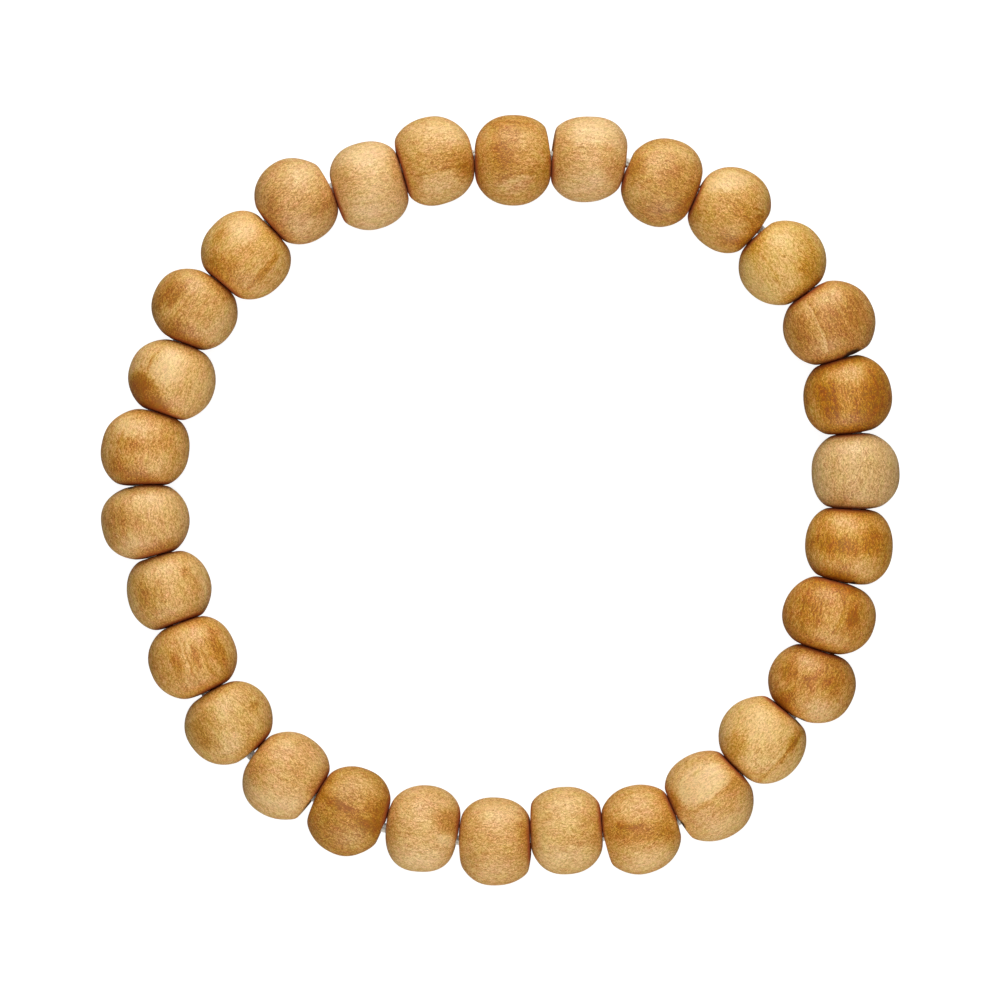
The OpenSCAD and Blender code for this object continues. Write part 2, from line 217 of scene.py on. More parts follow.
     "lines": [(0.0, 0.2, 1.8, 0.12, 10, 0.1, 0.12), (0.0, -1.8, 1.6, 0.12, -5, 0.1, 0.1)]},
    {"place": (0.2, -0.15, 4), "size": (0.0, 0.0), "lean": (-6, 5), "touch": 0.3,
     "full": [(82, 0.08), (125, -0.12), (155, -0.1), (228, -0.15), (277, 0.12), (318, -0.16)],
     "tone": 0.43, "hue": 0.004, "sat": 1.01, "val": 0.96,
     "marks": [(0.4, 2.5, 1.2, 0.6, 0, 0.36, 0.8), (1.8, 1.6, 0.9, 0.8, 0, 0.16, 0.8),
               (0.0, -2.9, 0.5, 0.4, 0, 0.46, 0.6), (-1.3, 0.5, 1.0, 1.2, 0, -0.18, 0.8),
               (1.4, -0.6, 1.2, 1.0, 0, -0.14, 0.8), (-2.6, -0.6, 0.6, 1.2, 0, 0.14, 0.8),
               (-1.0, 1.6, 0.6, 0.4, 0, 0.18, 0.8)],
     "lines": [(0.2, -2.2, 1.4, 0.14, 20, 0.1, 0.12), (0.2, 1.2, 1.2, 0.12, 0, 0.1, 0.1)]},
    {"place": (0.4, -0.7, 4), "size": (0.0, 0.05), "lean": (-1, 4), "touch": 1.8,
     "full": [(35, -0.08), (90, 0.1), (120, -0.06), (240, -0.08), (307, -0.09)],
     "tone": 0.48, "hue": -0.001, "sat": 1.03, "val": 1.0,
     "marks": [(0.2, 1.4, 0.9, 0.4, 15, 0.34, 0.6), (0.1, -0.4, 1.1, 0.35, -8, 0.32, 0.6),
               (-0.4, -2.5, 1.8, 0.5, -4, 0.36, 0.7), (2.0, -0.8, 0.9, 1.5, 0, -0.1, 0.8),
               (-1.4, 1.6, 1.2, 0.6, 0, 0.16, 0.8), (0.0, 3.0, 1.6, 0.6, 0, 0.14, 0.8)],
     "lines": [(-0.9, 0.3, 1.8, 0.14, 3, 0.1, 0.24), (0.6, 0.5, 1.8, 0.12, -4, 0.1, -0.2),
               (-1.0, -1.2, 1.6, 0.14, 4, 0.1, 0.2), (0.4, -1.8, 1.6, 0.12, 0, 0.1, 0.2),
               (1.4, -0.1, 1.2, 0.12, 3, 0.1, -0.18)]},
    {"place": (0.4, -0.9, -4), "size": (-0.3, -0.3), "lean": (-1, 4), "touch": 1.6,
     "full": [(37, 0.12), (67, -0.12), (90, 0.08), (150, 0.18), (205, 0.22), (232, -0.22),
               (262, 0.12), (293, -0.12)],
     "tone": 0.43, "hue": 0.002, "sat": 1.0, "val": 1.0,
     "marks": [(-1.5, 1.2, 1.4, 1.1, -20, 0.14, 0.8), (0.3, 2.3, 1.4, 0.7, 0, 0.32, 0.8),
               (1.0, -2.0, 0.5, 0.35, 0, 0.3, 0.7), (2.3, 0.4, 0.8, 1.6, 0, -0.24, 0.8),
               (0.0, -3.1, 2.0, 0.6, 0, -0.14, 0.8), (-0.4, -2.5, 1.0, 0.5, 0, 0.16, 0.8)],
     "lines": [(-0.6, 1.4, 1.6, 0.14, -15, 0.1, 0.18), (-0.2, 0.6, 1.4, 0.12, 5, 0.1, 0.12)]},
    {"place": (0.2, 0.15, -5), "size": (-0.15, -0.05), "lean": (-6, 7), "touch": 1.1,
     "mouth": (0.8, 0.4, 0.34),
     "full": [(28, -0.12), (62, 0.08), (85, 0.08), (150, -0.1), (235, -0.2), (270, 0.1), (300, -0.16)],
     "tone": 0.4, "hue": 0.0, "sat": 0.99, "val": 0.99,
     "marks": [(0.3, 2.6, 1.8, 0.9, 0, 0.36, 0.8), (-2.5, -0.8, 0.7, 1.6, 0, 0.3, 0.8),
               (1.6, -1.6, 1.3, 1.2, 0, -0.18, 0.8), (0.2, 0.9, 0.7, 0.9, 0, 0.18, 0.8),
               (-1.9, 1.6, 0.9, 0.9, 0, -0.12, 0.8)],
     "lines": [(0.2, 1.9, 1.4, 0.14, 0, 0.15, 0.14), (0.2, -0.4, 1.6, 0.12, 5, 0.1, 0.1)]},
    {"place": (0.1, 0.5, 0), "size": (0.15, 0.0), "lean": (-9, 10), "touch": 1.3,
     "full": [(20, -0.1), (50, -0.24), (145, 0.13), (165, 0.1), (230, -0.12), (252, 0.08)],
     "tone": 0.49, "hue": -0.001, "sat": 1.02, "val": 1.01,
     "marks": [(-2.0, 2.2, 1.2, 1.0, -30, 0.24, 0.8), (0.2, 0.8, 0.6, 1.5, 0, 0.28, 0.8),
               (0.6, -1.7, 1.1, 0.5, -30, 0.1, 0.8), (1.7, 1.6, 0.8, 1.6, -15, -0.36, 0.8),
               (-1.2, -1.6, 1.0, 0.9, 0, -0.16, 0.8), (-2.5, 0.0, 0.6, 1.4, 0, 0.28, 0.8)],
     "lines": [(0.3, 2.2, 1.4, 0.14, -10, 0.1, 0.16), (-0.8, 0.4, 1.2, 0.12, 4, 0.1, 0.1)]},
    {"place": (0.05, -0.3, -1), "size": (-0.05, 0.0), "lean": (-1, 1), "touch": 1.1,
     "full": [(45, -0.2), (90, 0.04), (130, -0.18), (205, 0.2), (232, -0.2), (260, 0.14), (295, -0.1)],
     "tone": 0.31, "hue": 0.001, "sat": 1.01, "val": 1.01,
     "marks": [(-2.15, 1.75, 1.6, 2.6, -30, 0.65, 0.36), (-1.4, 2.6, 0.9, 1.0, -20, 0.2, 0.6),
               # the pale mark at x 0.9, y 0.4 below is a painted highlight
               (-2.7, -0.4, 0.6, 1.2, 0, 0.2, 0.8), (0.9, 0.4, 1.5, 1.2, 0, -0.42, 0.8),
               (-1.0, -1.0, 1.2, 1.0, 0, 0.1, 0.8)],
     "lines": [(1.0, 2.2, 0.5, 0.14, 10, 0.1, 0.36), (1.5, 1.9, 0.5, 0.12, -20, 0.1, 0.3),
               (1.2, 1.6, 0.3, 0.12, 20, 0.1, 0.26), (0.3, 2.2, 0.3, 0.1, 10, 0.1, 0.24)]},
    {"place": (-0.1, 0.65, -1), "size": (0.0, -0.1), "lean": (-10, 8), "touch": 1.0,
     "full": [(20, -0.08), (48, -0.2), (78, 0.12), (100, -0.1), (138, -0.1), (158, -0.15),
               (225, -0.16), (275, 0.13), (305, -0.14)],
     "tone": 0.52, "hue": 0.001, "sat": 1.01, "val": 0.95,
     "marks": [(-0.4, 2.8, 1.7, 0.6, -8, 0.4, 0.7), (0.4, 1.8, 1.3, 0.4, -5, 0.28, 0.7),
               (-2.5, -0.3, 0.8, 1.8, 0, 0.36, 0.8), (-0.2, -3.0, 2.0, 0.8, 0, -0.24, 0.8),
               (2.2, 1.2, 0.7, 1.2, 0, -0.2, 0.8), (-1.6, 1.2, 1.0, 0.6, 0, -0.1, 0.8)],
     "lines": [(0.0, 0.8, 1.8, 0.14, -6, 0.1, 0.18), (0.4, -0.8, 1.6, 0.12, 4, 0.1, 0.12),
               (-0.2, 2.3, 1.6, 0.12, -6, 0.1, -0.16)]},
    {"place": (-0.2, -0.1, -2), "size": (0.05, 0.1), "lean": (-2, 2), "touch": 1.2,
     "full": [(45, 0.18), (65, -0.1), (105, 0.12), (125, -0.16), (155, 0.12), (225, -0.1), (300, 0.09)],
     "tone": 0.39, "hue": 0.0, "sat": 1.04, "val": 1.0,
     "marks": [(-2.1, 0.9, 1.2, 1.5, 0, 0.34, 0.8), (0.2, 0.2, 1.1, 0.9, 0, 0.16, 0.8),
               (1.8, 2.0, 1.4, 1.4, -20, -0.32, 0.8), (-0.2, 2.7, 0.9, 0.5, 0, 0.18, 0.8),
               (-1.4, -0.8, 1.2, 0.8, 0, 0.12, 0.8)],
     "lines": [(0.0, -2.35, 2.6, 0.3, 0, -0.15, 0.34), (-1.0, -1.3, 1.4, 0.14, 0, 0.1, 0.16),
               (0.4, -2.85, 1.6, 0.12, 0, -0.1, -0.14)]},
    {"place": (-0.2, 0.7, 1), "size": (-0.1, 0.0), "lean": (-6, 6), "touch": -0.5,
     "full": [(8, 0.28), (42, -0.2), (90, 0.06), (120, -0.08), (240, -0.15), (270, 0.08), (300, -0.12)],
     "tone": 0.49, "hue": 0.0, "sat": 0.97, "val": 0.99,
     "marks": [(-2.3, -0.6, 0.9, 1.8, 0, 0.26, 0.8), (2.0, 1.8, 1.3, 1.4, -30, -0.28, 0.8),
               (1.7, -1.8, 1.1, 0.6, 0, 0.26, 0.8), (-1.6, 1.8, 1.2, 0.8, 0, 0.12, 0.8),
               (0.2, -0.2, 1.0, 0.8, 0, 0.08, 0.8)],
     "lines": [(-0.4, 1.2, 1.6, 0.12, 20, 0.1, 0.12), (0.4, -0.4, 1.6, 0.12, 5, 0.1, 0.12)]},
    {"place": (-0.35, -1.05, 7), "size": (-0.3, 0.05), "lean": (1, -1), "touch": 1.8,
     "full": [(42, 0.12), (65, -0.2), (90, 0.04), (105, -0.2), (208, 0.32), (240, -0.08), (262, 0.22),
               (290, -0.08), (308, 0.16)],
     "tone": 0.25, "hue": 0.0, "sat": 0.97, "val": 1.0,
     "marks": [(0.7, 2.7, 1.9, 1.0, 0, -0.18, 0.8), (-2.0, 0.6, 1.0, 1.7, 0, 0.24, 0.8),
               (1.6, -1.6, 1.2, 0.9, 0, 0.1, 0.8), (2.6, 0.0, 0.5, 1.2, 0, 0.14, 0.8)],
     "lines": [(0.2, 0.3, 1.8, 0.12, 4, 0.1, 0.1), (-0.2, -0.9, 1.8, 0.12, -3, 0.1, 0.1)]},
    {"place": (-0.35, -0.75, 0), "size": (0.0, 0.1), "lean": (-6, 3), "touch": -0.2,
     "full": [(25, -0.12), (58, -0.24), (90, 0.1), (112, -0.12), (148, 0.36), (232, 0.14), (305, -0.2)],
     "tone": 0.42, "hue": 0.001, "sat": 1.01, "val": 1.0,
     "marks": [(1.6, -0.4, 1.5, 1.1, 0, 0.25, 0.8), (2.1, 1.9, 1.0, 1.0, -30, -0.28, 0.8),
               (-1.4, -0.2, 1.6, 1.2, 0, 0.12, 0.8), (2.4, -1.5, 0.8, 0.8, 0, 0.3, 0.8),
               (0.0, 3.1, 2.2, 0.8, 0, -0.16, 0.8), (0.2, -2.6, 1.6, 0.7, 0, -0.1, 0.8)],
     "lines": [(0.4, -1.1, 2.6, 0.16, 4, 0.1, 0.32), (0.0, 0.3, 1.6, 0.14, -8, 0.1, 0.16),
               (1.0, -0.5, 1.4, 0.14, 6, 0.1, 0.16)]},
]


# Where each bead lies, worked out as the frame does
def beadPlaces():
    count = len(beads)
    ringRadius = count * (loop["beadLength"] + loop["gap"]) / (2 * math.pi)
    for i, bead in enumerate(beads):
        slid, out, turn = bead["place"]
        bearing = math.radians(loop["firstAt"] + 360 * i / count) + slid / ringRadius
        heading = bearing + math.radians(turn)
        reach = ringRadius + out
        bead["heading"] = heading
        bead["length"] = loop["beadLength"] + bead["size"][0]
        bead["diameter"] = loop["beadDiameter"] + bead["size"][1]
        across, up = reach * math.sin(bearing), reach * math.cos(bearing)
        bead["middle"] = Vector((across, up, bead["diameter"] / 2))
        bead["along"] = Vector((math.cos(heading), -math.sin(heading), 0))
        bead["outward"] = Vector((math.sin(heading), math.cos(heading), 0))
        bead["name"] = f"bead_{i + 1:02d}"
        bead["seed"] = loop["seedStep"] * (i + 1)


# Where two beads meet: a plane across the loop that both reach, and stay a hair's breadth from
joint = {
    "clearance": 0.006,
    "opening": math.tan(math.radians(8)),  # how fast each bead draws back, past where they touch
    "easing": 0.12,
    "tilt": math.tan(math.radians(3)),  # the plane leans, so no light comes up between the beads
}


def joinBeads():
    for i, bead in enumerate(beads):
        after = beads[(i + 1) % len(beads)]
        turnOver = 2 * math.pi if i + 1 == len(beads) else 0
        farFace = bead["heading"] + math.radians(bead["lean"][1])
        nearFace = after["heading"] + math.radians(after["lean"][0]) + turnOver
        facing = (farFace + nearFace) / 2
        farEnd = bead["middle"] + bead["along"] * bead["length"] / 2
        nearEnd = after["middle"] - after["along"] * after["length"] / 2
        meeting = (farEnd + nearEnd) / 2
        for one, end, turned in ((bead, "far", facing - bead["heading"]),
                                 (after, "near", facing - turnOver - after["heading"])):
            offset = meeting - one["middle"]
            one[end] = {"x": offset.dot(one["along"]), "y": offset.dot(one["outward"]), "z": offset.z,
                        "slope": math.tan(turned), "touch": bead["touch"]}


# A turned wooden bead
turning = {
    "square": 2.35,  # 2 is an ellipse, and more is squarer
    "endCut": 1.1,
    "outlinePoints": 48,
    "sides": 80,
    "mergeWithin": 0.001,
    "boreRadius": 1.2,
    "rimWidth": 0.15,
    "rimSpace": 0.08,  # between the rim and the last ring of the outside
    "boreEdge": 0.05,  # width of the ring just inside the rim
    "boreStart": 0.5,  # depth below an end face of the first ring in the bore
    "boreRings": 5,
    "wave": 0.035,  # unevenness of the sanded surface, mm
    "waveSize": 2.2,
    "waveDrift": (5.1, 2.3, 1),  # how far the waves move for each step of a bead's seed
    "fullWidth": 30,  # degrees over which an outline's fullness fades
    "edgeSoftness": 0.08,
}


def beadProfile(bead):  # over the outside from one rim of the bore to the other, and back through it
    half, radius = bead["length"] / 2, bead["diameter"] / 2
    power = 2 / turning["square"]
    rim = turning["boreRadius"] + turning["rimWidth"]
    outside = []
    for k in range(turning["outlinePoints"] + 1):
        t = math.pi * (k / turning["outlinePoints"] - 0.5)
        x = turning["endCut"] * half * math.copysign(abs(math.sin(t)) ** power, t)
        r = radius * max(math.cos(t), 0) ** power
        if r > rim + turning["rimSpace"]:
            outside.append((x, r))
    reach = outside[-1][0]
    bore = turning["boreRadius"]
    mouth = [(reach, rim), (reach, bore + turning["boreEdge"]), (reach, bore)]
    straight = half - turning["boreStart"]
    rings = turning["boreRings"]
    inside = [(straight - k * 2 * straight / rings, bore) for k in range(rings + 1)]
    return outside + mouth + inside + [(-x, r) for x, r in reversed(mouth)]


def softer(x, softness):  # nought below nought and x above it, eased
    eased = 20 * softness  # past there the curve and the straight line are one
    if x > eased:
        return x
    return softness * math.log1p(math.exp(x / softness))


def faceReach(face, side, y, z):  # how far along the bore a bead goes, at y and z
    past = softer(y - face["y"] - face["touch"], joint["easing"]) * joint["opening"]
    rim = max(turning["boreRadius"] + turning["rimWidth"] - math.hypot(y, z), 0)
    plane = face["x"] + face["slope"] * (y - face["y"]) + joint["tilt"] * (z - face["z"])
    return side * plane - joint["clearance"] - past - rim


def shapeBead(bm, bead):
    drift = Vector([bead["seed"] * step for step in turning["waveDrift"]])
    for v in bm.verts:
        out = v.co.normalized()
        push = turning["wave"] * noise.noise(v.co / turning["waveSize"] + drift)
        for angle, amount in bead["full"]:
            way = Vector((math.cos(math.radians(angle)), math.sin(math.radians(angle)), 0))
            away = math.degrees(out.angle(way))
            push += amount * math.exp(-(away / turning["fullWidth"]) ** 2)
        if math.hypot(v.co.y, v.co.z) > turning["boreRadius"] + turning["rimWidth"]:
            v.co += push * out
        elif abs(v.co.x) > bead["length"] / 2:  # the bore's mouth moves in or out with the wood round it
            v.co.x += push * out.x
        far = faceReach(bead["far"], 1, v.co.y, v.co.z)
        near = faceReach(bead["near"], -1, v.co.y, v.co.z)
        v.co.x = far - softer(far - v.co.x, turning["edgeSoftness"])
        v.co.x = softer(v.co.x + near, turning["edgeSoftness"]) - near


def makeBead(bead):
    bm = bmesh.new()
    ring = [bm.verts.new((x, r, 0)) for x, r in beadProfile(bead)]
    for a, b in zip(ring, ring[1:] + ring[:1]):
        bm.edges.new((a, b))
    bmesh.ops.spin(bm, geom=bm.verts[:] + bm.edges[:], cent=(0, 0, 0), axis=(1, 0, 0), angle=2 * math.pi,
                   steps=turning["sides"], use_merge=True)
    bmesh.ops.remove_doubles(bm, verts=bm.verts[:], dist=turning["mergeWithin"])
    shapeBead(bm, bead)
    bmesh.ops.recalc_face_normals(bm, faces=bm.faces[:])
    turned = Matrix.Rotation(-bead["heading"], 3, "Z")
    bmesh.ops.rotate(bm, verts=bm.verts[:], cent=(0, 0, 0), matrix=turned)
    bmesh.ops.translate(bm, verts=bm.verts[:], vec=bead["middle"])
    bmesh.ops.scale(bm, verts=bm.verts[:], vec=(mm, mm, mm))
    for face in bm.faces:
        face.smooth = True
    mesh = bpy.data.meshes.new(bead["name"] + "_turned")
    bm.to_mesh(mesh)
    bm.free()
    piece = bpy.data.objects.new(bead["name"] + "_turned", mesh)
    bpy.context.scene.collection.objects.link(piece)
    return piece


# The wood
wood = {
    # colours from the palest tone to the deepest
    "tones": [(0.0, (0.80, 0.53, 0.235)), (0.25, (0.72, 0.43, 0.148)), (0.5, (0.63, 0.322, 0.072)),
              (0.75, (0.51, 0.213, 0.022)), (1.0, (0.36, 0.113, 0.004))],
    # each layer of noise: size in mm, detail, tone or hue it adds, how it is squeezed, how it curls
    "clouds": (1.9, 2, 0.42, (0.6, 1, 1), 0),
    "streaks": (0.6, 3, 0.28, (0.35, 1, 1), 0),
    "hueDrift": (0.7, 3, 0.055, (0.7, 1, 1), 0),
    "grain": (0.1, 3, 2.15, (0.7, 1, 1), 1.5),
    "noiseRoughness": 0.6,
    "fibre": 0.26,  # tone that the curling fibres add
    "fibreScale": 0.8,
    "fibreCurl": 9,
    "curlSize": 0.42,
    "curlDetail": 1,
    "seedShift": (1.7, 2.9, 1.3),  # how far the grain moves for each step of a bead's seed
    "warp": 0.7,  # how far the marks' edges wander, mm
    "warpScale": 0.8,
    "warpDetail": 3,
    "markDepth": 2.6,  # least half height of a mark, mm
    "lineEdge": (0.2, 1.4),  # where a line fades out, in its half thicknesses from its middle
    "lineEnd": (0.5, 1),  # where it fades out along its length, as the square of its half lengths
    "valueShare": 0.55,  # how much the grain and fibres darken the wood, for the tone they add
    "jointShadeReach": 1.3,  # how far from a joint the wood is painted deeper in tone, as painted shade, mm
    "jointShadeTone": 0.22,
    # painted shade in the joints: a dark red-brown mixed into the wood where the beads meet, in place of
    # the shade there
    "contactShadow": (0.36, 0.07, 0.003),
    "contactReach": 0.4,
    "contactFade": 0.9,
    "contactLeft": 0.3,  # what is left of it past where the beads touch
    "mouthShadow": (0.03, 0.01, 0.003),
    "mouthHeight": 1.6,  # how far the painted shadow's middle is above the bead's, and half its height, mm
    "mouthEdge": (0.6, 1.2),
    "roughness": (0.4, 0.6),  # of pale and of dark grain
    "roughnessSpan": 0.2,  # tone of the fine grain at which it is the one or the other
    "rubbedRoughness": 0.4,  # added where two beads rub
    "gloss": 0.5,
    "glow": 0.1,  # the light that goes into the wood and comes out again
    "glowColour": (1, 0.35, 0.1),
    "glowDepth": 0.4 * mm,
    "bump": 0.3,
    "bumpDepth": 0.03 * mm,
}


def newNode(tree, kind, **settings):
    node = tree.nodes.new(kind)
    for name, value in settings.items():
        setattr(node, name, value)
    return node


def sumOf(tree, a, b):
    node = newNode(tree, "ShaderNodeMath", operation="ADD")
    tree.links.new(a, node.inputs[0])
    tree.links.new(b, node.inputs[1])
    return node.outputs[0]


def timesOf(tree, a, factor):
    node = newNode(tree, "ShaderNodeMath", operation="MULTIPLY")
    tree.links.new(a, node.inputs[0])
    node.inputs[1].default_value = factor
    return node.outputs[0]


def scaled(tree, vector, scale):
    node = newNode(tree, "ShaderNodeVectorMath", operation="MULTIPLY")
    tree.links.new(vector, node.inputs[0])
    node.inputs[1].default_value = scale
    return node.outputs[0]


def evenNoise(tree, vector, layer):  # noise about nought
    size, detail, amount, squeeze, curl = layer
    node = newNode(tree, "ShaderNodeTexNoise")
    tree.links.new(scaled(tree, vector, squeeze), node.inputs["Vector"])
    node.inputs["Scale"].default_value = 1 / size
    node.inputs["Detail"].default_value = detail
    node.inputs["Roughness"].default_value = wood["noiseRoughness"]
    node.inputs["Distortion"].default_value = curl
    centred = newNode(tree, "ShaderNodeMath", operation="SUBTRACT")
    tree.links.new(node.outputs[0], centred.inputs[0])
    centred.inputs[1].default_value = 0.5
    return timesOf(tree, centred.outputs[0], amount)


def grainGroup():  # broad clouds and streaks, and the fine grain and curling fibres, all as tones
    tree = bpy.data.node_groups.new("woodGrain", "ShaderNodeTree")
    tree.interface.new_socket("Place", in_out="INPUT", socket_type="NodeSocketVector")
    tree.interface.new_socket("Seed", in_out="INPUT", socket_type="NodeSocketFloat")
    for name in ("Broad", "Fine", "Hue"):
        tree.interface.new_socket(name, in_out="OUTPUT", socket_type="NodeSocketFloat")
    given = tree.nodes.new("NodeGroupInput")
    result = tree.nodes.new("NodeGroupOutput")
    shift = newNode(tree, "ShaderNodeVectorMath", operation="SCALE")
    shift.inputs[0].default_value = wood["seedShift"]
    tree.links.new(given.outputs["Seed"], shift.inputs["Scale"])
    moved = newNode(tree, "ShaderNodeVectorMath", operation="ADD")
    tree.links.new(given.outputs["Place"], moved.inputs[0])
    tree.links.new(shift.outputs[0], moved.inputs[1])
    place = moved.outputs[0]
    clouds = evenNoise(tree, place, wood["clouds"])
    streaks = evenNoise(tree, place, wood["streaks"])
    tree.links.new(sumOf(tree, clouds, streaks), result.inputs["Broad"])
    tree.links.new(evenNoise(tree, place, wood["hueDrift"]), result.inputs["Hue"])

    grains = evenNoise(tree, place, wood["grain"])
    fibres = newNode(tree, "ShaderNodeTexWave", wave_type="BANDS", bands_direction="Y")
    tree.links.new(place, fibres.inputs["Vector"])
    fibres.inputs["Scale"].default_value = wood["fibreScale"]
    fibres.inputs["Distortion"].default_value = wood["fibreCurl"]
    fibres.inputs["Detail"].default_value = wood["curlDetail"]
    fibres.inputs["Detail Scale"].default_value = 1 / (wood["fibreScale"] * wood["curlSize"])
    centred = newNode(tree, "ShaderNodeMath", operation="SUBTRACT")
    tree.links.new(fibres.outputs["Fac"], centred.inputs[0])
    centred.inputs[1].default_value = 0.5
    curls = timesOf(tree, centred.outputs[0], wood["fibre"])
    tree.links.new(sumOf(tree, grains, curls), result.inputs["Fine"])
    return tree


def fade(tree, value, low, high, fromLow, toHigh):  # eased from one amount to the other
    node = newNode(tree, "ShaderNodeMapRange", interpolation_type="SMOOTHSTEP")
    tree.links.new(value, node.inputs["Value"])
    node.inputs["From Min"].default_value = low
    node.inputs["From Max"].default_value = high
    node.inputs["To Min"].default_value = fromLow
    node.inputs["To Max"].default_value = toHigh
    return node.outputs[0]


def fitted(tree, place, centre, angle, size):  # place, in an oval's or a line's own directions and sizes
    node = newNode(tree, "ShaderNodeMapping", vector_type="TEXTURE")
    tree.links.new(place, node.inputs["Vector"])
    node.inputs["Location"].default_value = centre
    node.inputs["Rotation"].default_value = (0, 0, math.radians(angle))
    node.inputs["Scale"].default_value = size
    return node.outputs[0]


def markTone(tree, place, mark, height):
    x, y, halfLength, halfWidth, angle, amount, softness = mark
    depth = max(wood["markDepth"], halfWidth)
    fit = fitted(tree, place, (x, y, height), angle, (halfLength, halfWidth, depth))
    away = newNode(tree, "ShaderNodeVectorMath", operation="LENGTH")
    tree.links.new(fit, away.inputs[0])
    return fade(tree, away.outputs["Value"], 1 - softness, 1 + softness, amount, 0)


def lineTone(tree, place, line):
    x, y, halfLength, halfWidth, angle, bow, amount = line
    fit = fitted(tree, place, (x, y, 0), angle, (halfLength, halfWidth, 1))
    parts = newNode(tree, "ShaderNodeSeparateXYZ")
    tree.links.new(fit, parts.inputs[0])
    square = newNode(tree, "ShaderNodeMath", operation="MULTIPLY")
    tree.links.new(parts.outputs["X"], square.inputs[0])
    tree.links.new(parts.outputs["X"], square.inputs[1])
    off = sumOf(tree, parts.outputs["Y"], timesOf(tree, square.outputs[0], bow / halfWidth))
    size = newNode(tree, "ShaderNodeMath", operation="ABSOLUTE")
    tree.links.new(off, size.inputs[0])
    both = newNode(tree, "ShaderNodeMath", operation="MULTIPLY")
    tree.links.new(fade(tree, size.outputs[0], *wood["lineEdge"], amount, 0), both.inputs[0])
    tree.links.new(fade(tree, square.outputs[0], *wood["lineEnd"], 1, 0), both.inputs[1])
    return both.outputs[0]


def nearJoints(tree, place, bead, reach):  # 1 where it touches its neighbours, and less further off
    parts = newNode(tree, "ShaderNodeSeparateXYZ")
    tree.links.new(place, parts.inputs[0])
    whole = None
    for face, side in ((bead["far"], 1), (bead["near"], -1)):
        gap = newNode(tree, "ShaderNodeVectorMath", operation="DOT_PRODUCT")
        tree.links.new(place, gap.inputs[0])
        gap.inputs[1].default_value = (-side, side * face["slope"], side * joint["tilt"])
        offset = side * (face["x"] - face["slope"] * face["y"] - joint["tilt"] * face["z"])
        near = fade(tree, gap.outputs["Value"], -offset, reach - offset, 1, 0)
        limit = face["y"] + face["touch"]
        inner = fade(tree, parts.outputs["Y"], limit, limit + wood["contactFade"], 1, wood["contactLeft"])
        both = newNode(tree, "ShaderNodeMath", operation="MULTIPLY")
        tree.links.new(near, both.inputs[0])
        tree.links.new(inner, both.inputs[1])
        whole = both.outputs[0] if whole is None else sumOf(tree, whole, both.outputs[0])
    return whole


# mixes a colour of painted shade into the wood, by the amount given
def paintShade(tree, colour, amount, shadeColour):
    node = newNode(tree, "ShaderNodeMix", data_type="RGBA")
    tree.links.new(amount, node.inputs["Factor"])
    tree.links.new(colour, node.inputs["A"])
    node.inputs["B"].default_value = (*shadeColour, 1)
    return node.outputs["Result"]


def surfaceHeight(bead, x, y):  # how high the bead's top is above its middle, near enough for a mark
    half, radius = bead["length"] / 2, bead["diameter"] / 2
    mostAlong, leastSquare = 0.95, 0.3  # for a mark at the very end or side
    along = min(abs(x) / (turning["endCut"] * half), mostAlong)
    girth = radius * (1 - along ** turning["square"]) ** (1 / turning["square"])
    return math.sqrt(max(girth ** 2 - y ** 2, leastSquare))


